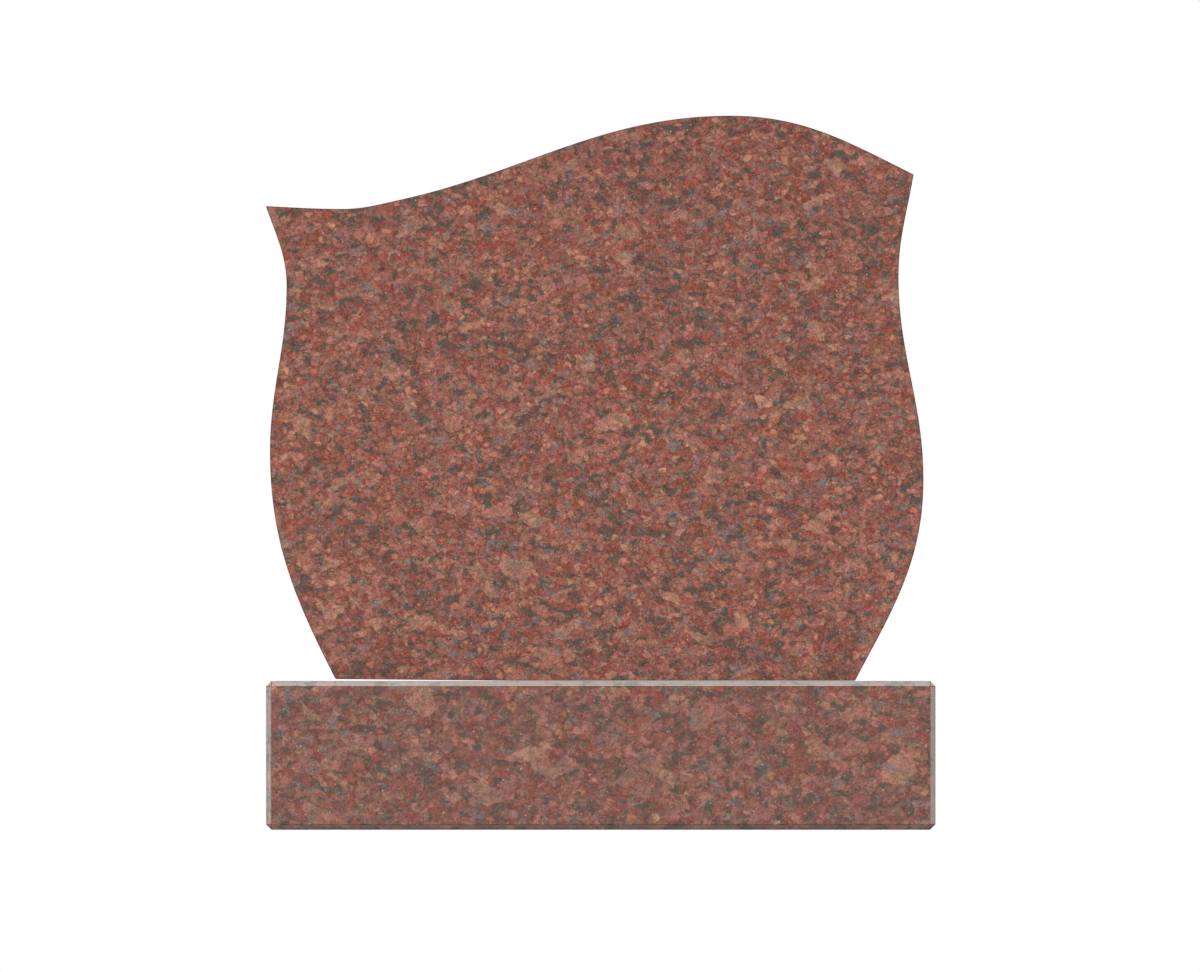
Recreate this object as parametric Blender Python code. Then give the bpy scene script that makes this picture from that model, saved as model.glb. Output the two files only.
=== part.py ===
"""A red granite headstone: an upright tablet with a wave-shaped top, standing on a chamfered plinth.

Lengths are in metres, +Z is up and the stone faces -Y. The origin is the middle of the plinth's underside.
"""

import math
from collections import namedtuple

import bmesh
import bpy
from mathutils import Vector
from mathutils.geometry import interpolate_bezier

# The tablet: across its foot, from its foot to its crest, through the slab, and its eased edges
FOOT_WIDTH = 0.5315
TABLET_HEIGHT = 0.579
TABLET_THICKNESS = 0.102
TABLET_ARRIS = 0.0012

# The plinth stands out past the tablet's foot by a ledge on each of the four sides
PLINTH_HEIGHT = 0.1525
PLINTH_CHAMFER = 0.0055
LEFT_LEDGE = 0.072
RIGHT_LEDGE = 0.0825
FRONT_LEDGE = 0.1015
BACK_LEDGE = 0.1015

# The hairline bed joint between the plinth's top and the tablet's foot
BED_JOINT = 0.0003

# The plinth's overall size and the middle of the tablet's foot follow from the sizes above
PLINTH_WIDTH = LEFT_LEDGE + FOOT_WIDTH + RIGHT_LEDGE
PLINTH_DEPTH = FRONT_LEDGE + TABLET_THICKNESS + BACK_LEDGE
FOOT_MIDDLE = Vector((
    (LEFT_LEDGE - RIGHT_LEDGE) / 2,
    (FRONT_LEDGE - BACK_LEDGE) / 2,
    PLINTH_HEIGHT + BED_JOINT,
))

# The tablet's outline is a free form, drawn anticlockwise as seen from the front.
# A station lies across (in foot widths from the foot's middle) and up (in tablet heights). Its headings
# are the outline's directions on arriving and on leaving, in degrees from +X towards +Z.
Station = namedtuple("Station", "name across up arrive leave")
OUTLINE = (
    Station("right foot corner", 0.500, 0.000, 0, 62),
    Station("right belly", 0.632, 0.356, 90, 90),
    Station("right waist", 0.584, 0.714, 90, 90),
    Station("right horn", 0.613, 0.896, 80.5, 153.5),
    Station("crest", 0.260, 1.000, 180, 180),
    Station("middle of the rise", -0.376, 0.8515, 192.5, 192.5),
    Station("dip", -0.491, 0.835, 180, 180),
    Station("left horn", -0.636, 0.840, 177.5, 289),
    Station("left waist", -0.596, 0.698, 270, 270),
    Station("left belly", -0.628, 0.4055, 270, 270),
    Station("left foot corner", -0.500, 0.000, 297, 0),
)
HANDLE_SHARE = 0.38  # a curve handle's length, as a share of the chord between two stations
CURVE_STEP = 0.008  # the spacing of the points along a curved side

CHAMFER_FACES = 1
ARRIS_FACES = 2
SHARP_EDGE = math.radians(30)

TABLET_COLOUR = (0.26, 0.115, 0.088, 1.0)
PLINTH_COLOUR = (0.24, 0.12, 0.094, 1.0)
POLISH_ROUGHNESS = 0.12


def polished_granite(name, colour):
    """One of the two red granites, both polished."""
    material = bpy.data.materials.new(name)
    material.use_nodes = True
    shader = material.node_tree.nodes["Principled BSDF"]
    shader.inputs["Base Color"].default_value = colour
    shader.inputs["Roughness"].default_value = POLISH_ROUGHNESS
    shader.inputs["Metallic"].default_value = 0.0
    material.diffuse_color = colour
    return material


def add_object(name, mesh_data, material, location):
    """Links a finished bmesh to the scene as one object, placed at its location."""
    mesh = bpy.data.meshes.new(name)
    mesh_data.to_mesh(mesh)
    mesh_data.free()
    mesh.materials.append(material)
    stone = bpy.data.objects.new(name, mesh)
    stone.location = location
    bpy.context.scene.collection.objects.link(stone)
    return stone


def ease_edges(stone, width, faces):
    """Cuts every sharp edge of a stone back by width, with a flat chamfer or a rounded arris."""
    bevel = stone.modifiers.new("eased edges", "BEVEL")
    bevel.offset_type = "OFFSET"
    bevel.width = width
    bevel.segments = faces
    bevel.limit_method = "ANGLE"
    bevel.angle_limit = SHARP_EDGE
    bevel.use_clamp_overlap = True


def station_point(station):
    """A station's place in the plane of the tablet, from the middle of its foot."""
    return Vector((station.across * FOOT_WIDTH, 0, station.up * TABLET_HEIGHT))


def heading_vector(degrees):
    angle = math.radians(degrees)
    return Vector((math.cos(angle), 0, math.sin(angle)))


def curve_between(start, end):
    """Points of the smooth curve from one station to the next, without its last point."""
    first = station_point(start)
    last = station_point(end)
    chord = (last - first).length
    handle = chord * HANDLE_SHARE
    steps = math.ceil(chord / CURVE_STEP)
    leaving = first + heading_vector(start.leave) * handle
    arriving = last - heading_vector(end.arrive) * handle
    return interpolate_bezier(first, leaving, arriving, last, steps + 1)[:-1]


def tablet_outline():
    """The outline from the right foot corner up and over to the left foot corner. The foot closes it."""
    points = []
    for start, end in zip(OUTLINE, OUTLINE[1:]):
        points.extend(curve_between(start, end))
    points.append(station_point(OUTLINE[-1]))
    return points


def build_tablet():
    """The upright slab, one solid with parallel faces and square-cut sides."""
    mesh_data = bmesh.new()
    to_front = Vector((0, -TABLET_THICKNESS / 2, 0))
    through = Vector((0, TABLET_THICKNESS, 0))
    corners = [mesh_data.verts.new(point + to_front) for point in tablet_outline()]
    front = mesh_data.faces.new(corners)
    slab = bmesh.ops.extrude_face_region(mesh_data, geom=[front])
    back_corners = [item for item in slab["geom"] if isinstance(item, bmesh.types.BMVert)]
    bmesh.ops.translate(mesh_data, verts=back_corners, vec=through)
    bmesh.ops.recalc_face_normals(mesh_data, faces=mesh_data.faces)
    granite = polished_granite("tablet granite", TABLET_COLOUR)
    tablet = add_object("tablet", mesh_data, granite, FOOT_MIDDLE)
    ease_edges(tablet, TABLET_ARRIS, ARRIS_FACES)


def build_plinth():
    """The rectangular block under the tablet, with all twelve edges chamfered."""
    mesh_data = bmesh.new()
    block = bmesh.ops.create_cube(mesh_data, size=1.0)
    bmesh.ops.scale(mesh_data, verts=block["verts"], vec=(PLINTH_WIDTH, PLINTH_DEPTH, PLINTH_HEIGHT))
    granite = polished_granite("plinth granite", PLINTH_COLOUR)
    middle = Vector((0, 0, PLINTH_HEIGHT / 2))
    plinth = add_object("plinth", mesh_data, granite, middle)
    ease_edges(plinth, PLINTH_CHAMFER, CHAMFER_FACES)


def build_headstone():
    for leftover in list(bpy.data.objects):
        bpy.data.objects.remove(leftover)
    build_plinth()
    build_tablet()


build_headstone()
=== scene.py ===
"""The looks of a red granite headstone: a polished tablet with a wave-shaped top on a chamfered plinth.

Lengths are in metres, +Z is up and the stone faces -Y, as in the frame.
"""

import math
from collections import namedtuple

import bmesh
import bpy
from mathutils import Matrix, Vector
from mathutils.geometry import interpolate_bezier


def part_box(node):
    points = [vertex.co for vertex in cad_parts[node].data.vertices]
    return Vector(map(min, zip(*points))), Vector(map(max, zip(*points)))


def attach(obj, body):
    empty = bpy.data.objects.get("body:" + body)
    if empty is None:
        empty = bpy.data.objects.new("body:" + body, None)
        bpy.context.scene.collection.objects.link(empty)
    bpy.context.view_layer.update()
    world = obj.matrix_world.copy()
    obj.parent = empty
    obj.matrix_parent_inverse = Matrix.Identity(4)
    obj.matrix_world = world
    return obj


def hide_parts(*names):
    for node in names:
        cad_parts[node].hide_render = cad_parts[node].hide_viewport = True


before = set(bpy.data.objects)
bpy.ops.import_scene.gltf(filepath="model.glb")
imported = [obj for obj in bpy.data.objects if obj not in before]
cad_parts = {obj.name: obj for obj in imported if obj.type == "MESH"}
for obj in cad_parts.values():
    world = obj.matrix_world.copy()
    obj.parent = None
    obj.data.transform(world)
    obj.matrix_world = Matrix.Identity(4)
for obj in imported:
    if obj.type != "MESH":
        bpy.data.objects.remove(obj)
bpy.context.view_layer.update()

TABLET_LOW, TABLET_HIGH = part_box("tablet")
PLINTH_LOW, PLINTH_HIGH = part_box("plinth")

# The photograph: its size in pixels, what one pixel measures, and the pixels where the plinth's middle
# and its underside lie
PICTURE_WIDTH = 1200
PICTURE_HEIGHT = 972
PLINTH_WIDTH_PIXELS = 669.2
PLINTH_WIDTH = 0.6858
PIXEL = PLINTH_WIDTH / PLINTH_WIDTH_PIXELS
PLINTH_MIDDLE_PIXEL = 600.8
UNDERSIDE_PIXEL = 829.8

# The tablet's sizes. Its arris is finer than the solid's, and its foot rises where the solid's is level
FOOT_WIDTH = 0.5315
FOOT_MIDDLE_X = -0.00525
TABLET_HEIGHT = TABLET_HIGH.z - TABLET_LOW.z
TABLET_THICKNESS = TABLET_HIGH.y - TABLET_LOW.y
TABLET_ARRIS = 0.0007
TABLET_ARRIS_FACES = 4
FOOT_RISE = 0.0017  # how far the foot lies out of level at its left corner, where the bed joint opens
FOOT_RISE_END = -0.16  # where the foot is level again, in foot widths from its middle

# The plinth's chamfers, and the fine rounding where a chamfer meets a face
PLINTH_CHAMFER = 0.0055
PLINTH_ARRIS = 0.0004
PLINTH_ARRIS_FACES = 2

# The tablet's outline, anticlockwise as seen from the front: each station lies across (in foot widths from
# the foot's middle) and up (in tablet heights), with the outline's headings on arriving and on leaving
Station = namedtuple("Station", "name across up arrive leave")
OUTLINE = (
    Station("right foot corner", 0.500, 0.000, 0, 62),
    Station("right belly", 0.632, 0.356, 90, 90),
    Station("right waist", 0.584, 0.714, 90, 90),
    Station("right horn", 0.613, 0.896, 80.5, 153.5),
    Station("crest", 0.260, 1.000, 180, 180),
    Station("middle of the rise", -0.376, 0.8515, 192.5, 192.5),
    Station("dip", -0.491, 0.835, 180, 180),
    Station("left horn", -0.636, 0.840, 177.5, 289),
    Station("left waist", -0.596, 0.698, 270, 270),
    Station("left belly", -0.628, 0.4055, 270, 270),
    Station("left foot corner", -0.500, 0.000, 297, 0),
)
HANDLE_SHARE = 0.38  # a curve handle's length, as a share of the chord between two stations
CURVE_STEP = 0.0025  # about how far apart the points along a curved side lie
SHARP_EDGE = math.radians(30)

# How a face's unit normal is read: a face whose normal has a part above SQUARE_ON looks straight that way,
# and one whose part is below SLOPING doesn't look that way at all
SQUARE_ON = 0.99
SLOPING = 0.1

# Noise whose features measure about size, with finer octaves that fade by the roughness
Noise = namedtuple("Noise", "size detail roughness")


class Graph:
    """Adds shader nodes to a tree by plain calls. A socket, a number or a colour can feed any input."""

    # The mix node has inputs and outputs of the same name for each kind of data, so they go by number
    MIX_SHARE = 0
    MIX_NUMBERS = (2, 3)
    MIX_COLOURS = (6, 7)
    MIX_NUMBER_RESULT = 0
    MIX_COLOUR_RESULT = 2

    def __init__(self, tree):
        self.tree = tree
        tree.nodes.clear()

    def feed(self, socket, value):
        """Links a socket to an input, or sets the input to a number, a vector or an opaque colour."""
        if isinstance(value, bpy.types.NodeSocket):
            self.tree.links.new(value, socket)
        elif socket.type == "RGBA":
            socket.default_value = (*value, 1.0)
        elif value is not None:
            socket.default_value = value

    def add(self, kind, settings=None, **inputs):
        """A node of a kind. An underscore in an input's name stands for a space."""
        node = self.tree.nodes.new(kind)
        for name, value in (settings or {}).items():
            setattr(node, name, value)
        for name, value in inputs.items():
            self.feed(node.inputs[name.replace("_", " ")], value)
        return node

    def math(self, operation, first, second=None, clamp=False):
        node = self.add("ShaderNodeMath", {"operation": operation, "use_clamp": clamp})
        self.feed(node.inputs[0], first)
        self.feed(node.inputs[1], second)
        return node.outputs[0]

    def total(self, first, *others):
        for other in others:
            first = self.math("ADD", first, other)
        return first

    def product(self, first, *others):
        for other in others:
            first = self.math("MULTIPLY", first, other)
        return first

    def remainder(self, value, clamp=False):
        """What is left of 1 once value is taken away."""
        return self.math("SUBTRACT", 1.0, value, clamp)

    def swing(self, value, reach):
        """A pattern between 0 and 1, made to swing evenly round 0 over the given reach."""
        return self.product(self.math("SUBTRACT", value, 0.5), reach)

    def vector(self, operation, first, second):
        node = self.add("ShaderNodeVectorMath", {"operation": operation})
        self.feed(node.inputs[0], first)
        self.feed(node.inputs[1], second)
        return node.outputs[0]

    def scaled(self, vector, factor):
        node = self.add("ShaderNodeVectorMath", {"operation": "SCALE"}, Scale=factor)
        self.feed(node.inputs[0], vector)
        return node.outputs[0]

    def length(self, vector):
        node = self.add("ShaderNodeVectorMath", {"operation": "LENGTH"})
        self.feed(node.inputs[0], vector)
        return node.outputs["Value"]

    def mix(self, share, first, second):
        """A colour between two colours."""
        node = self.add("ShaderNodeMix", {"data_type": "RGBA", "clamp_factor": True})
        self.feed(node.inputs[self.MIX_SHARE], share)
        self.feed(node.inputs[self.MIX_COLOURS[0]], first)
        self.feed(node.inputs[self.MIX_COLOURS[1]], second)
        return node.outputs[self.MIX_COLOUR_RESULT]

    def between(self, share, low, high):
        """A number between two numbers."""
        node = self.add("ShaderNodeMix", {"data_type": "FLOAT", "clamp_factor": True})
        self.feed(node.inputs[self.MIX_SHARE], share)
        self.feed(node.inputs[self.MIX_NUMBERS[0]], low)
        self.feed(node.inputs[self.MIX_NUMBERS[1]], high)
        return node.outputs[self.MIX_NUMBER_RESULT]

    def step(self, value, start, end):
        """A smooth passage from 0 at start to 1 at end. It runs downwards where start is above end."""
        node = self.add("ShaderNodeMapRange", {"interpolation_type": "SMOOTHSTEP"}, Value=value)
        node.inputs["From Min"].default_value = start
        node.inputs["From Max"].default_value = end
        return node.outputs[0]

    def noise(self, vector, noise):
        """Cloudy noise. Returns its value and its colour."""
        amounts = {"Scale": 1 / noise.size, "Detail": noise.detail, "Roughness": noise.roughness}
        node = self.add("ShaderNodeTexNoise", Vector=vector, **amounts)
        return node.outputs["Fac"], node.outputs["Color"]

    def cells(self, vector, size):
        """Irregular cells about size across. Returns the distance to a cell's middle and a random colour."""
        node = self.add("ShaderNodeTexVoronoi", {"feature": "F1"}, Vector=vector, Scale=1 / size)
        return node.outputs["Distance"], node.outputs["Color"]

    def cell_edges(self, vector, size):
        """The distance to the nearest border between two cells, in cells."""
        to_border = {"feature": "DISTANCE_TO_EDGE"}
        node = self.add("ShaderNodeTexVoronoi", to_border, Vector=vector, Scale=1 / size)
        return node.outputs["Distance"]

    def parts(self, colour):
        """The three channels of a random colour, as three random numbers."""
        node = self.add("ShaderNodeSeparateColor", Color=colour)
        return node.outputs[0], node.outputs[1], node.outputs[2]

    def ramp(self, value, stops):
        """A colour for each value, from (position, colour) stops."""
        node = self.add("ShaderNodeValToRGB", Fac=value)
        elements = node.color_ramp.elements
        while len(elements) < len(stops):
            elements.new(1.0)
        for element, (position, colour) in zip(elements, stops):
            element.position = position
            element.color = (*colour, 1.0)
        return node.outputs["Color"]

    def mix_shaders(self, share, first, second):
        """A shader between two shaders. These are nodes, and so is what it returns."""
        node = self.add("ShaderNodeMixShader")
        for socket, value in zip(node.inputs, (share, first.outputs[0], second.outputs[0])):
            self.feed(socket, value)
        return node

    def finish(self, kind, shader):
        """Sends a shader to the tree's output node."""
        self.feed(self.add(kind).inputs["Surface"], shader.outputs[0])


# The minerals' colours, linear, as cut and polished
BROWN_FELDSPAR = (0.105, 0.048, 0.034)
BRICK_FELDSPAR = (0.208, 0.043, 0.027)
ROSE_FELDSPAR = (0.190, 0.072, 0.050)
SALMON_FELDSPAR = (0.256, 0.090, 0.061)
PALE_FELDSPAR = (0.305, 0.150, 0.104)
TAN_FELDSPAR = (0.265, 0.150, 0.088)
ORANGE_FELDSPAR = (0.335, 0.140, 0.082)
MAUVE_TINT = (0.170, 0.076, 0.076)
OLIVE_TINT = (0.120, 0.078, 0.046)
ROSE_CRYSTAL = (0.232, 0.092, 0.066)
TAN_CRYSTAL = (0.300, 0.145, 0.094)
QUARTZ_GREY = (0.150, 0.110, 0.088)
QUARTZ_BLUE = (0.088, 0.092, 0.098)
# The pale of the bright flecks: partly the stone's pale specks, partly painted glint
FLECK_AND_GLINT_PALE = (0.400, 0.250, 0.190)
RIM_BROWN = (0.090, 0.054, 0.032)
MAFIC_GREEN = (0.040, 0.038, 0.027)
MAFIC_BLACK = (0.046, 0.029, 0.022)

# A stone's grain size, the size of its large crystals, its greyer wash, and its seat in the quarry's rock
Stone = namedtuple("Stone", "coarseness crystals wash seat")
TABLET_STONE = Stone(coarseness=1.0, crystals=1.0, wash=0.0, seat=(0.37, 0.21, 0.53))
PLINTH_STONE = Stone(coarseness=1.30, crystals=1.15, wash=0.26, seat=(1.11, 0.63, 1.59))
WASH_COLOUR = (0.056, 0.050, 0.046)

# How a surface was finished: its depth scales the colour, and its bloom is a pale veil over it. On the
# chamfers these also carry painted light and shade by the way each faces, and on the rounded edges a depth
# below 1 is painted shade
Finish = namedtuple("Finish", "roughness bloom bump depth gloss")
POLISHED = Finish(roughness=0.06, bloom=0.0, bump=0.0, depth=1.0, gloss=0.5)
EDGE_POLISHED = Finish(roughness=0.14, bloom=0.05, bump=0.0, depth=1.0, gloss=0.5)
# The rounded edges are darkened by a depth below 1, as painted shade, so that their outline reads dark rather
# than pale
TABLET_ARRIS_PAINTED_SHADE = Finish(roughness=0.30, bloom=0.0, bump=0.05, depth=0.6, gloss=0.0)
PLINTH_ARRIS_PAINTED_SHADE = Finish(roughness=0.30, bloom=0.0, bump=0.05, depth=0.7, gloss=0.12)
# The chamfers: one honed finish in lit and shaded copies. The upper ones get the most bloom as painted light,
# the side ones less, and the lower ones less still with a darker depth as painted shade
HONED_PAINTED_LIT = Finish(roughness=0.42, bloom=0.57, bump=0.15, depth=1.0, gloss=0.4)
SIDE_HONED_PAINTED_HALF_LIT = Finish(roughness=0.42, bloom=0.49, bump=0.15, depth=1.0, gloss=0.4)
LOWER_HONED_PAINTED_SHADE = Finish(roughness=0.35, bloom=0.18, bump=0.15, depth=0.82, gloss=0.3)
SAWN = Finish(roughness=0.55, bloom=0.35, bump=0.35, depth=1.0, gloss=0.3)
BLOOM_COLOUR = (0.380, 0.352, 0.326)
STONE_IOR = 1.54

# The grains' sizes, for a stone of coarseness 1, and how the rock is stretched from side to side
BIG_GRAIN = 0.0105
GRAIN = 0.0068
SMALL_GRAIN = 0.0030
ROCK_STRETCH = (0.86, 1.0, 1.0)

# The rock's clouds, its finest speckle, and the clusters that its dark minerals form
CLOUD = Noise(0.0048, 2.0, 0.6)
SPECKLE = Noise(0.0012, 1.0, 0.6)
CLUSTER = Noise(0.0085, 2.0, 0.6)

# Irregular borders between grains: waves of three sizes, and how far each moves a place
Wave = namedtuple("Wave", "noise reach")
WAVES = (
    Wave(Noise(0.011, 1.0, 0.5), 0.0050),
    Wave(Noise(0.0036, 1.0, 0.5), 0.0026),
    Wave(Noise(0.0009, 1.0, 0.5), 0.0006),
)
MIDDLE_OF_NOISE = (0.5, 0.5, 0.5)

# What the minerals of a stone share. A pick, a tint and a shade are random numbers, one for each grain
Rock = namedtuple(
    "Rock",
    "place wavy cloud speckle cluster joint grain_distance pick tint shade small_pick small_tint small_shade",
)


def wavy_place(g, place):
    """A place in the rock, moved by the waves, so that the borders drawn from it are irregular and frayed."""
    wavy = g.vector("MULTIPLY", place, ROCK_STRETCH)
    for wave in WAVES:
        push = g.vector("SUBTRACT", g.noise(place, wave.noise)[1], MIDDLE_OF_NOISE)
        wavy = g.vector("ADD", wavy, g.scaled(push, wave.reach))
    return wavy


def rock_of(g, stone):
    """The patterns that all minerals of a stone are drawn from."""
    place = g.add("ShaderNodeTexCoord").outputs["Object"]
    place = g.scaled(place, 1 / stone.coarseness)
    place = g.vector("ADD", place, stone.seat)
    wavy = wavy_place(g, place)
    grain_distance, grain_colour = g.cells(wavy, GRAIN)
    pick, tint, shade = g.parts(grain_colour)
    small_pick, small_tint, small_shade = g.parts(g.cells(wavy, SMALL_GRAIN)[1])
    return Rock(
        place=place,
        wavy=wavy,
        cloud=g.noise(wavy, CLOUD)[0],
        speckle=g.noise(place, SPECKLE)[0],
        cluster=g.noise(wavy, CLUSTER)[0],
        joint=g.cell_edges(wavy, GRAIN),
        grain_distance=grain_distance,
        pick=pick,
        tint=tint,
        shade=shade,
        small_pick=small_pick,
        small_tint=small_tint,
        small_shade=small_shade,
    )


# The feldspar matrix: its colours, how far grains and clouds move a place along them, and where that starts
FELDSPARS = (
    (0.05, BROWN_FELDSPAR),
    (0.30, BRICK_FELDSPAR),
    (0.48, ROSE_FELDSPAR),
    (0.68, SALMON_FELDSPAR),
    (0.95, PALE_FELDSPAR),
)
GRAIN_STEER = 0.66
SMALL_GRAIN_STEER = 0.08
CLOUD_STEER = 0.74
FELDSPAR_START = 0.065
BIG_GRAINS_FROM = (0.78, 0.80)
TAN_FROM = (0.90, 0.93)
TAN_SHARE = 0.25


def feldspar_matrix(g, rock):
    """Feldspar grains of several colours, some of them big, with small tan ones among them."""
    big_pick, big_share, _ = g.parts(g.cells(rock.wavy, BIG_GRAIN)[1])
    pick = g.between(g.step(big_share, *BIG_GRAINS_FROM), rock.pick, big_pick)
    choice = g.total(
        g.product(pick, GRAIN_STEER),
        g.product(rock.small_pick, SMALL_GRAIN_STEER),
        g.swing(rock.cloud, CLOUD_STEER),
        FELDSPAR_START,
    )
    colour = g.ramp(choice, FELDSPARS)
    tan = g.product(g.step(rock.small_tint, *TAN_FROM), TAN_SHARE)
    return g.mix(tan, colour, TAN_FELDSPAR)


# Scattered rounded grains: where they end, which grains are rounded, and how strongly they show
ROUNDED_EDGE = (0.34, 0.52)
ROUNDED_BELOW = (0.13, 0.12)
ROUNDED_SHARES = (0.35, 0.95)

# Grains that lean to mauve, and small ones that lean to olive
MAUVE_FROM = (0.70, 0.74)
MAUVE_SHARE = 0.28
OLIVE_BELOW = (0.20, 0.16)
OLIVE_SHARE = 0.14


def with_odd_grains(g, rock, colour):
    """Adds the scattered rounded grains, paler and more orange, and the grains of another tint."""
    rounded = g.product(
        g.remainder(g.step(rock.grain_distance, *ROUNDED_EDGE)),
        g.step(rock.shade, *ROUNDED_BELOW),
        g.between(rock.pick, *ROUNDED_SHARES),
    )
    colour = g.mix(rounded, colour, ORANGE_FELDSPAR)
    mauve = g.product(g.step(rock.shade, *MAUVE_FROM), MAUVE_SHARE)
    colour = g.mix(mauve, colour, MAUVE_TINT)
    olive = g.product(g.step(rock.small_shade, *OLIVE_BELOW), OLIVE_SHARE)
    return g.mix(olive, colour, OLIVE_TINT)


# Large crystals, blocky or lath-shaped: how each family is turned (in degrees), how long its crystals are,
# and how many times longer than wide. All lean and are swung round by the same angles, in radians
Laths = namedtuple("Laths", "turn length slimness")
LATH_FAMILIES = (Laths(25, 0.022, 2.0), Laths(-50, 0.018, 1.6), Laths(100, 0.018, 1.2))
LATH_LEAN = 0.4
LATH_YAW = 0.2
CRYSTALS_FROM = (0.976, 0.980)
CRYSTAL_SHARES = (0.50, 0.90)
CRYSTAL_CLOUDING = 1.0


def with_large_crystals(g, rock, stone, colour):
    """Adds large crystals that lie apart from each other. Returns the colour and where the crystals are."""
    crystal = 0.0
    place = g.scaled(rock.wavy, 1 / stone.crystals)
    for laths in LATH_FAMILIES:
        rotation = (LATH_LEAN, math.radians(laths.turn), LATH_YAW)
        turned = g.add("ShaderNodeMapping", Vector=place, Rotation=rotation).outputs[0]
        lath_place = g.vector("MULTIPLY", turned, (1.0, laths.slimness, laths.slimness))
        pick, tint, depth = g.parts(g.cells(lath_place, laths.length)[1])
        share = g.total(g.between(depth, *CRYSTAL_SHARES), g.swing(rock.cloud, CRYSTAL_CLOUDING))
        share = g.product(g.step(pick, *CRYSTALS_FROM), share)
        colour = g.mix(share, colour, g.mix(tint, ROSE_CRYSTAL, TAN_CRYSTAL))
        crystal = g.math("MAXIMUM", crystal, share)
    return colour, crystal


# Dark minerals in the joints between grains: what widens a joint, and by how much all are narrower
CLUSTER_WIDENING = 2.4
GRAIN_WIDENING = 0.30
SPECKLE_WIDENING = 0.3
JOINT_NARROWING = 0.36
JOINT_EDGE = (0.0, 0.16)

# Dark patches, longer than high, and what frays their edges
PATCH = Noise(0.0090, 3.0, 0.60)
PATCH_STRETCH = (0.80, 1.0, 1.0)
PATCH_FRAY = 0.07
PATCHES_FROM = (0.584, 0.604)

# Whole grains that are dark, and how much the clouds and the speckle decide which they are
SPOT_CLOUDING = 0.7
SPOT_FRAY = 0.2
SPOTS_FROM = (0.96, 0.995)

# How far large crystals keep dark minerals out, and the brown rims of altered feldspar round the dark ones
CRYSTAL_SHELTER = 1.1
JOINT_RIM = (-0.30, 0.10)
PATCH_RIM = (0.50, 0.60)

# Where the dark minerals and their rims are, and a random colour that changes from place to place
Dark = namedtuple("Dark", "mafic rim patch_colour")


def dark_minerals(g, rock, crystal):
    """Mica and hornblende, which fill joints and widen there into strings, patches and whole grains."""
    width = g.total(
        g.swing(rock.cluster, CLUSTER_WIDENING),
        g.swing(rock.small_shade, GRAIN_WIDENING),
        g.swing(rock.speckle, SPECKLE_WIDENING),
    )
    width = g.math("SUBTRACT", width, JOINT_NARROWING)
    past_joint = g.math("SUBTRACT", width, rock.joint)
    patch, patch_colour = g.noise(g.vector("MULTIPLY", rock.wavy, PATCH_STRETCH), PATCH)
    patch = g.total(patch, g.swing(rock.speckle, PATCH_FRAY), g.swing(rock.small_shade, PATCH_FRAY))
    spot = g.total(rock.tint, g.swing(rock.cloud, SPOT_CLOUDING), g.swing(rock.speckle, SPOT_FRAY))
    mafic = g.math("MAXIMUM", g.step(past_joint, *JOINT_EDGE), g.step(patch, *PATCHES_FROM))
    mafic = g.math("MAXIMUM", mafic, g.step(spot, *SPOTS_FROM))
    open_rock = g.remainder(g.product(crystal, CRYSTAL_SHELTER), clamp=True)
    rim = g.math("MAXIMUM", g.step(past_joint, *JOINT_RIM), g.step(patch, *PATCH_RIM))
    return Dark(g.product(mafic, open_rock), rim, patch_colour)


# Quartz: small grains of it near the clusters, and larger lumps
QUARTZ_CLUSTERING = 0.9
QUARTZ_FROM = (1.02, 1.05)
LUMP_FRAY = 0.05
LUMPS_FROM = (0.602, 0.624)

# How strongly the brown rims, the quartz and the dark minerals cover what lies under them
RIM_SHARE = 0.40
QUARTZ_SHARE = 0.66
MAFIC_SHARES = (0.56, 0.90)


def with_dark_minerals(g, rock, dark, colour):
    """Lays on the brown rims, then the glassy grey quartz, then the dark minerals."""
    colour = g.mix(g.product(dark.rim, RIM_SHARE), colour, RIM_BROWN)
    small_quartz = g.step(g.total(rock.small_tint, g.swing(rock.cluster, QUARTZ_CLUSTERING)), *QUARTZ_FROM)
    lump = g.total(g.parts(dark.patch_colour)[1], g.swing(rock.speckle, LUMP_FRAY))
    quartz = g.math("MAXIMUM", small_quartz, g.step(lump, *LUMPS_FROM))
    quartz_colour = g.mix(rock.small_shade, QUARTZ_GREY, QUARTZ_BLUE)
    colour = g.mix(g.product(quartz, QUARTZ_SHARE), colour, quartz_colour)
    mafic_share = g.product(dark.mafic, g.between(rock.small_shade, *MAFIC_SHARES))
    return g.mix(mafic_share, colour, g.mix(rock.small_pick, MAFIC_GREEN, MAFIC_BLACK))


# Small bright flecks, partly pale specks of the stone and partly painted glints of its cleavage faces: the
# size of the cells they lie in, where a fleck ends in its cell, which cells have one, and how strongly it
# shows
FLECK_SPACING = 0.0034
FLECK_EDGE = (0.08, 0.30)
FLECKS_FROM = (0.84, 0.90)
FLECK_SHARE = 0.80


def with_flecks_and_painted_glints(g, rock, colour):
    distance, fleck_colour = g.cells(rock.place, FLECK_SPACING)
    fleck = g.remainder(g.step(distance, *FLECK_EDGE))
    fleck = g.product(fleck, g.step(g.parts(fleck_colour)[0], *FLECKS_FROM))
    # The flecks are pale specks of the stone and, in part, painted glints of cleavage faces
    return g.mix(g.product(fleck, FLECK_SHARE), colour, FLECK_AND_GLINT_PALE)


# Mottling by tiny crystals: the offset makes the bright ones a little paler and the dark ones redder
GRAIN_MOTTLE = 0.42
SPECKLE_MOTTLE = 1.46
MOTTLE_OFFSET = (0.0, 0.030, 0.030)

# Grains are darker where they meet
MEETING_EDGE = (0.0, 0.15)
MEETING_BRIGHTNESS = (0.80, 1.06)


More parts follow.
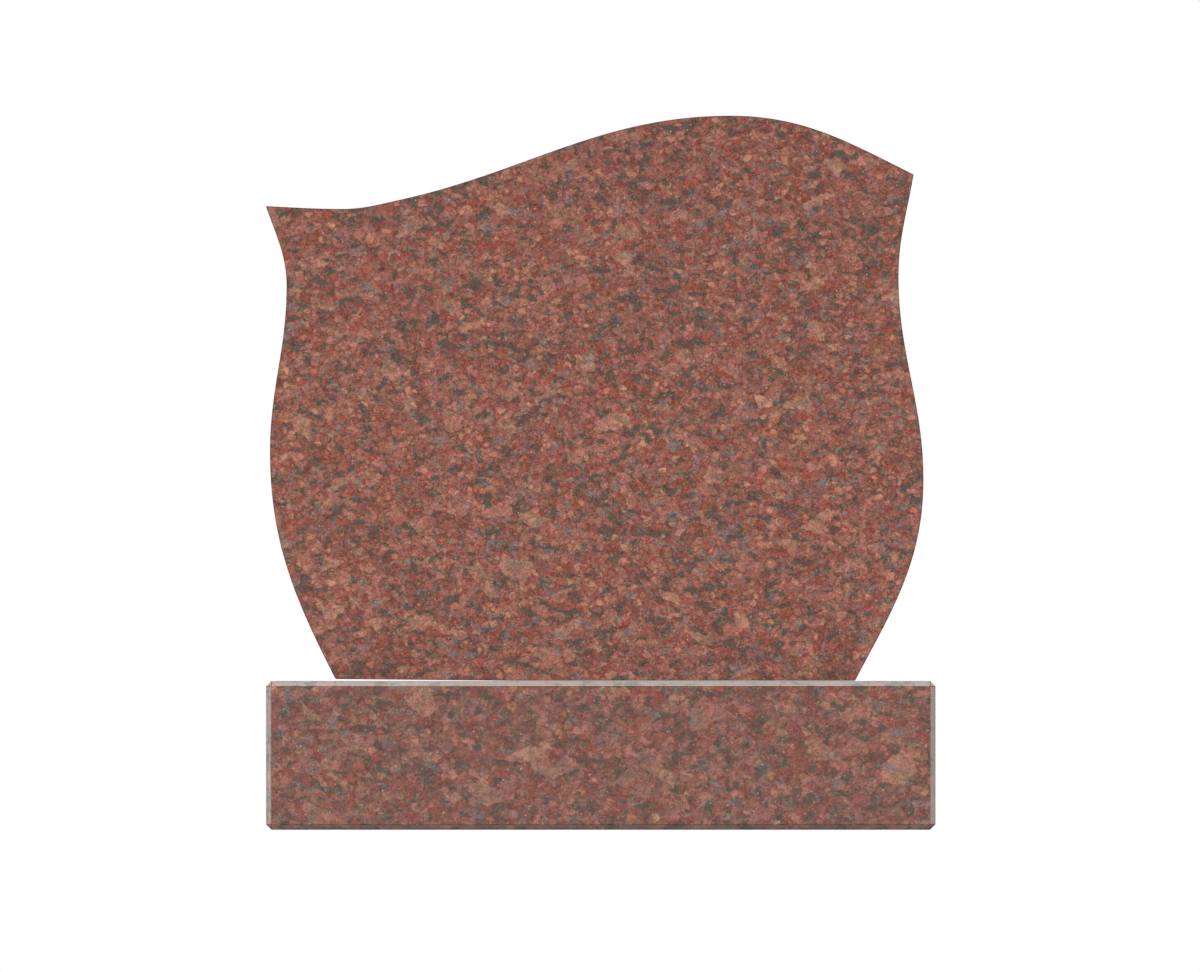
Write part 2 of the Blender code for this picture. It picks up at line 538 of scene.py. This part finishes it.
def mottled(g, rock, crystal, colour):
    """The colour of every mineral, mottled by its own tiny crystals and darker where grains meet."""
    mottle = g.total(g.swing(rock.small_shade, GRAIN_MOTTLE), g.swing(rock.speckle, SPECKLE_MOTTLE))
    change = g.scaled(g.vector("ADD", colour, MOTTLE_OFFSET), mottle)
    colour = g.vector("ADD", colour, change)
    inside = g.math("MAXIMUM", g.step(rock.joint, *MEETING_EDGE), crystal)
    return g.scaled(colour, g.between(inside, *MEETING_BRIGHTNESS))


# Hue drifts between pink and ochre, whatever the brightness. Green goes against red by a fixed share
HUE_DRIFT = Noise(0.0105, 1.5, 0.5)
RED_DRIFT = 0.50
RED_BY_GRAIN = 0.06
BLUE_DRIFT = 0.42
BLUE_BY_GRAIN = 0.07
GREEN_AGAINST_RED = -0.62


def with_drifting_hue(g, rock, colour):
    pink, blue, _ = g.parts(g.noise(rock.wavy, HUE_DRIFT)[1])
    redness = g.total(g.swing(pink, RED_DRIFT), g.swing(rock.tint, RED_BY_GRAIN))
    blueness = g.total(g.swing(blue, BLUE_DRIFT), g.swing(rock.pick, BLUE_BY_GRAIN))
    greenness = g.product(redness, GREEN_AGAINST_RED)
    drift = g.add("ShaderNodeCombineXYZ", X=redness, Y=greenness, Z=blueness).outputs[0]
    return g.vector("ADD", colour, g.vector("MULTIPLY", colour, drift))


# How much the bloom of an unpolished surface thins over dark minerals, and how it changes with the clouds
BLOOM_THINNING = 0.24
BLOOM_CLOUDING = (1.15, 0.85)

# How much rougher dark minerals and bright speckle are, and how deep the bumps of a rough surface go
MAFIC_ROUGHNESS = 0.12
SPECKLE_ROUGHNESS = 0.03
ROUGH_SPECKLE_FROM = (0.3, 0.8)
BUMP_DEPTH = 0.0002


def finished_colour(g, rock, mafic, stone, finish, colour):
    """The stone's own greyer wash, the depth that a finish gives the colour, and its pale bloom."""
    colour = g.mix(stone.wash, colour, WASH_COLOUR)
    colour = g.scaled(colour, finish.depth)
    veil = g.remainder(g.product(mafic, BLOOM_THINNING))
    veil = g.product(veil, g.between(rock.cloud, *BLOOM_CLOUDING))
    return g.mix(g.product(veil, finish.bloom), colour, BLOOM_COLOUR)


def stone_shader(g, rock, mafic, finish, colour):
    rough_speckle = g.step(rock.speckle, *ROUGH_SPECKLE_FROM)
    roughness = g.total(
        finish.roughness,
        g.product(mafic, MAFIC_ROUGHNESS),
        g.product(rough_speckle, SPECKLE_ROUGHNESS),
    )
    shader = g.add("ShaderNodeBsdfPrincipled", Base_Color=colour, Roughness=roughness, IOR=STONE_IOR)
    shader.inputs["Specular IOR Level"].default_value = finish.gloss
    if finish.bump:
        bump = g.add("ShaderNodeBump", Height=rock.speckle, Strength=finish.bump, Distance=BUMP_DEPTH)
        g.feed(shader.inputs["Normal"], bump.outputs[0])
    return shader


def granite(name, stone, finish):
    """Red granite: feldspar, sparse large crystals, quartz and clusters of dark mica and hornblende."""
    material = bpy.data.materials.new(name)
    material.use_nodes = True
    g = Graph(material.node_tree)
    rock = rock_of(g, stone)
    colour = feldspar_matrix(g, rock)
    colour = with_odd_grains(g, rock, colour)
    colour, crystal = with_large_crystals(g, rock, stone, colour)
    dark = dark_minerals(g, rock, crystal)
    colour = with_dark_minerals(g, rock, dark, colour)
    colour = with_flecks_and_painted_glints(g, rock, colour)
    colour = mottled(g, rock, crystal, colour)
    colour = with_drifting_hue(g, rock, colour)
    colour = finished_colour(g, rock, dark.mafic, stone, finish, colour)
    shader = stone_shader(g, rock, dark.mafic, finish, colour)
    g.finish("ShaderNodeOutputMaterial", shader)
    return material


def add_object(name, mesh_data, materials):
    """Links a finished bmesh to the scene as one object, with its materials."""
    mesh = bpy.data.meshes.new(name)
    mesh_data.to_mesh(mesh)
    mesh_data.free()
    for material in materials:
        mesh.materials.append(material)
    thing = bpy.data.objects.new(name, mesh)
    bpy.context.scene.collection.objects.link(thing)
    return thing


def round_edges(piece, width, faces, material_index):
    """Rounds every sharp edge of a piece in a material, and lets light run smoothly over the rounding."""
    piece.data.set_sharp_from_angle(angle=SHARP_EDGE)
    bevel = piece.modifiers.new("rounded edges", "BEVEL")
    bevel.material = material_index
    bevel.width = width
    bevel.segments = faces
    bevel.limit_method = "ANGLE"
    bevel.angle_limit = SHARP_EDGE
    bevel.harden_normals = True
    bevel.use_clamp_overlap = True


def station_point(station):
    """A station's place in the tablet's plane, from the middle of its foot."""
    return Vector((station.across * FOOT_WIDTH, 0, station.up * TABLET_HEIGHT))


def heading_vector(degrees):
    angle = math.radians(degrees)
    return Vector((math.cos(angle), 0, math.sin(angle)))


def curve_between(start, end):
    """Points of the smooth curve from one station to the next, without its last point."""
    first = station_point(start)
    last = station_point(end)
    chord = (last - first).length
    handle = chord * HANDLE_SHARE
    steps = math.ceil(chord / CURVE_STEP)
    leaving = first + heading_vector(start.leave) * handle
    arriving = last - heading_vector(end.arrive) * handle
    return interpolate_bezier(first, leaving, arriving, last, steps + 1)[:-1]


def tablet_outline():
    """The whole outline, with the foot rising a touch towards its left corner."""
    points = []
    for start, end in zip(OUTLINE, OUTLINE[1:]):
        points.extend(curve_between(start, end))
    points.append(station_point(OUTLINE[-1]) + Vector((0, 0, FOOT_RISE)))
    points.append(Vector((FOOT_RISE_END * FOOT_WIDTH, 0, 0)))
    return points


# The tablet's surfaces, in the order of its materials. Its rounded edge is darkened as painted shade
TABLET_SURFACES = (
    ("tablet polished granite", POLISHED),
    ("tablet edge granite", EDGE_POLISHED),
    ("tablet arris granite painted shade", TABLET_ARRIS_PAINTED_SHADE),
)
TABLET_FACE, TABLET_EDGE, TABLET_ROUNDING = range(len(TABLET_SURFACES))


def slab_mesh():
    """The tablet's outline, carried through from its front face to its back face."""
    mesh_data = bmesh.new()
    front_foot = Vector((FOOT_MIDDLE_X, TABLET_LOW.y, TABLET_LOW.z))
    through = Vector((0, TABLET_THICKNESS, 0))
    corners = [mesh_data.verts.new(point + front_foot) for point in tablet_outline()]
    front = mesh_data.faces.new(corners)
    slab = bmesh.ops.extrude_face_region(mesh_data, geom=[front])
    back_corners = [item for item in slab["geom"] if isinstance(item, bmesh.types.BMVert)]
    bmesh.ops.translate(mesh_data, verts=back_corners, vec=through)
    bmesh.ops.recalc_face_normals(mesh_data, faces=mesh_data.faces)
    return mesh_data


def build_tablet():
    """The upright slab, polished on both faces and round its edge."""
    mesh_data = slab_mesh()
    for face in mesh_data.faces:
        face.smooth = True
        face.material_index = TABLET_FACE if abs(face.normal.y) > SQUARE_ON else TABLET_EDGE
    materials = [granite(name, TABLET_STONE, finish) for name, finish in TABLET_SURFACES]
    tablet = add_object("granite_tablet", mesh_data, materials)
    round_edges(tablet, TABLET_ARRIS, TABLET_ARRIS_FACES, TABLET_ROUNDING)
    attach(tablet, "root")
    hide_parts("tablet")


# The plinth's surfaces, in the order of its materials. The three chamfer finishes are lit and shaded copies
# of one honed finish, with painted light and shade, and the rounding is darkened as painted shade
PLINTH_SURFACES = (
    ("plinth polished granite", POLISHED),
    ("plinth honed granite painted lit", HONED_PAINTED_LIT),
    ("plinth side chamfer granite painted half lit", SIDE_HONED_PAINTED_HALF_LIT),
    ("plinth lower chamfer granite painted shade", LOWER_HONED_PAINTED_SHADE),
    ("plinth sawn granite", SAWN),
    ("plinth arris granite painted shade", PLINTH_ARRIS_PAINTED_SHADE),
)
PLINTH_NUMBERS = range(len(PLINTH_SURFACES))
FLAT_FACE, UPPER_CHAMFER, SIDE_CHAMFER, LOWER_CHAMFER, UNDERSIDE, PLINTH_ROUNDING = PLINTH_NUMBERS


def block_mesh():
    """The plinth's block, as large as the frame's, with a flat chamfer along each of its twelve edges."""
    mesh_data = bmesh.new()
    block = bmesh.ops.create_cube(mesh_data, size=1.0)
    size = PLINTH_HIGH - PLINTH_LOW
    middle = (PLINTH_HIGH + PLINTH_LOW) / 2
    bmesh.ops.scale(mesh_data, verts=block["verts"], vec=size)
    bmesh.ops.translate(mesh_data, verts=mesh_data.verts, vec=middle)
    bmesh.ops.bevel(
        mesh_data,
        geom=mesh_data.edges[:],
        offset=PLINTH_CHAMFER,
        offset_type="OFFSET",
        segments=1,
        affect="EDGES",
        profile=0.5,
    )
    return mesh_data


def plinth_surface(normal):
    """Which of the plinth's surfaces a face belongs to, by the way it looks."""
    if normal.z < -SQUARE_ON:
        return UNDERSIDE
    if normal.z < -SLOPING:
        return LOWER_CHAMFER
    if max(abs(part) for part in normal) > SQUARE_ON:
        return FLAT_FACE
    if abs(normal.z) < SLOPING:
        return SIDE_CHAMFER
    return UPPER_CHAMFER


def build_plinth():
    """The block under the tablet, with twelve honed chamfers, lit and shaded by painted light and shade as
    each faces, and a sawn underside.
    """
    mesh_data = block_mesh()
    for face in mesh_data.faces:
        face.smooth = True
        face.material_index = plinth_surface(face.normal)
    materials = [granite(name, PLINTH_STONE, finish) for name, finish in PLINTH_SURFACES]
    plinth = add_object("granite_plinth", mesh_data, materials)
    round_edges(plinth, PLINTH_ARRIS, PLINTH_ARRIS_FACES, PLINTH_ROUNDING)
    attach(plinth, "root")
    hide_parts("plinth")


# The floor, and where it fades into the white round it, from the stone's middle
FLOOR_RADIUS = 6.0
FLOOR_SIDES = 96
FADE = (0.5, 1.65)
FLOOR_COLOUR = (0.50, 0.50, 0.50)
FLOOR_ROUGHNESS = 0.8
FLOOR_GLOSS = 0.1


def floor_paint():
    """A pale matt paint that turns see-through further out."""
    material = bpy.data.materials.new("floor paint")
    material.use_nodes = True
    g = Graph(material.node_tree)
    away = g.length(g.add("ShaderNodeTexCoord").outputs["Object"])
    paint = g.add("ShaderNodeBsdfPrincipled", Base_Color=FLOOR_COLOUR, Roughness=FLOOR_ROUGHNESS)
    paint.inputs["Specular IOR Level"].default_value = FLOOR_GLOSS
    nothing = g.add("ShaderNodeBsdfTransparent")
    g.finish("ShaderNodeOutputMaterial", g.mix_shaders(g.step(away, *FADE), paint, nothing))
    return material


def build_floor():
    """A plain pale floor under the stone, that fades into the white of the studio further out."""
    mesh_data = bmesh.new()
    bmesh.ops.create_circle(mesh_data, cap_ends=True, radius=FLOOR_RADIUS, segments=FLOOR_SIDES)
    floor = add_object("floor", mesh_data, [floor_paint()])


# The studio's dome: how bright it is at the horizon and overhead, how much brighter on the left, and how
# bright the camera sees it
WHITE = (1.0, 1.0, 1.0)
SKY_BRIGHTNESS = (0.52, 0.98)
SKY_LEFT_GAIN = 0.09
SEEN_BRIGHTNESS = 1.0


def build_world():
    """A soft pale dome, brighter overhead and a little on the left, that the camera sees as white."""
    world = bpy.data.worlds.new("studio dome")
    bpy.context.scene.world = world
    world.use_nodes = True
    g = Graph(world.node_tree)
    direction = g.add("ShaderNodeTexCoord").outputs["Generated"]
    axes = g.add("ShaderNodeSeparateXYZ", Vector=direction)
    steepness = g.math("ABSOLUTE", axes.outputs["Z"])
    height = g.between(g.step(steepness, 0.0, 1.0), *SKY_BRIGHTNESS)
    strength = g.total(height, g.product(axes.outputs["X"], -SKY_LEFT_GAIN))
    dome = g.add("ShaderNodeBackground", Color=WHITE, Strength=strength)
    seen = g.add("ShaderNodeBackground", Color=WHITE, Strength=SEEN_BRIGHTNESS)
    camera_ray = g.add("ShaderNodeLightPath").outputs["Is Camera Ray"]
    g.finish("ShaderNodeOutputWorld", g.mix_shaders(camera_ray, dome, seen))


# The lamps: where each stands, the point it is aimed at, its width and height, its power in watts and its
# spread in degrees. One that is not mirrored lights the stone but leaves no image in its polish
Lamp = namedtuple("Lamp", "name place aim size power spread mirrored")
LAMPS = (
    Lamp("key softbox", (-2.3, -4.0, 0.65), (-1.5, -2.7, -0.4), (3.2, 1.2), 72, 110, False),
    Lamp("fill softbox", (1.8, -4.5, 0.65), (1.2, -3.2, -0.4), (2.2, 1.2), 57, 110, False),
    Lamp("left window", (-2.3, -4.0, 1.15), (-1.5, -2.7, 0.0), (3.2, 1.8), 30, 180, True),
    Lamp("right window", (1.8, -4.5, 0.85), (1.2, -3.2, 0.0), (2.2, 1.4), 18, 180, True),
    Lamp("rear softbox", (1.6, 3.6, 1.9), (0.0, 0.0, 0.3), (2.6, 2.0), 60, 180, True),
    Lamp("top softbox", (0.0, 0.9, 4.2), (0.0, 0.0, 0.3), (3.0, 2.0), 66, 180, True),
)


def add_lamp(lamp):
    """A rectangular light that the camera doesn't see."""
    data = bpy.data.lights.new(lamp.name, "AREA")
    data.shape = "RECTANGLE"
    data.size, data.size_y = lamp.size
    data.energy = lamp.power
    data.spread = math.radians(lamp.spread)
    light = bpy.data.objects.new(lamp.name, data)
    light.location = lamp.place
    light.rotation_euler = (Vector(lamp.aim) - Vector(lamp.place)).to_track_quat("-Z", "Y").to_euler()
    light.visible_camera = False
    light.visible_glossy = lamp.mirrored
    bpy.context.scene.collection.objects.link(light)


CAMERA_DISTANCE = 3.0
LEVEL = math.radians(90)  # a camera that isn't turned looks straight down


def build_camera():
    """The photograph's camera: level, square to the front, and so far away that nothing converges."""
    data = bpy.data.cameras.new("camera")
    data.type = "ORTHO"
    data.ortho_scale = PICTURE_WIDTH * PIXEL
    camera = bpy.data.objects.new("camera", data)
    across = (PICTURE_WIDTH / 2 - PLINTH_MIDDLE_PIXEL) * PIXEL
    up = (UNDERSIDE_PIXEL - PICTURE_HEIGHT / 2) * PIXEL
    camera.location = (across, -CAMERA_DISTANCE, up)
    camera.rotation_euler = (LEVEL, 0, 0)
    bpy.context.scene.collection.objects.link(camera)
    bpy.context.scene.camera = camera


build_tablet()
build_plinth()
build_floor()
build_world()
for lamp in LAMPS:
    add_lamp(lamp)
build_camera()
bpy.context.scene.view_settings.view_transform = "Standard"
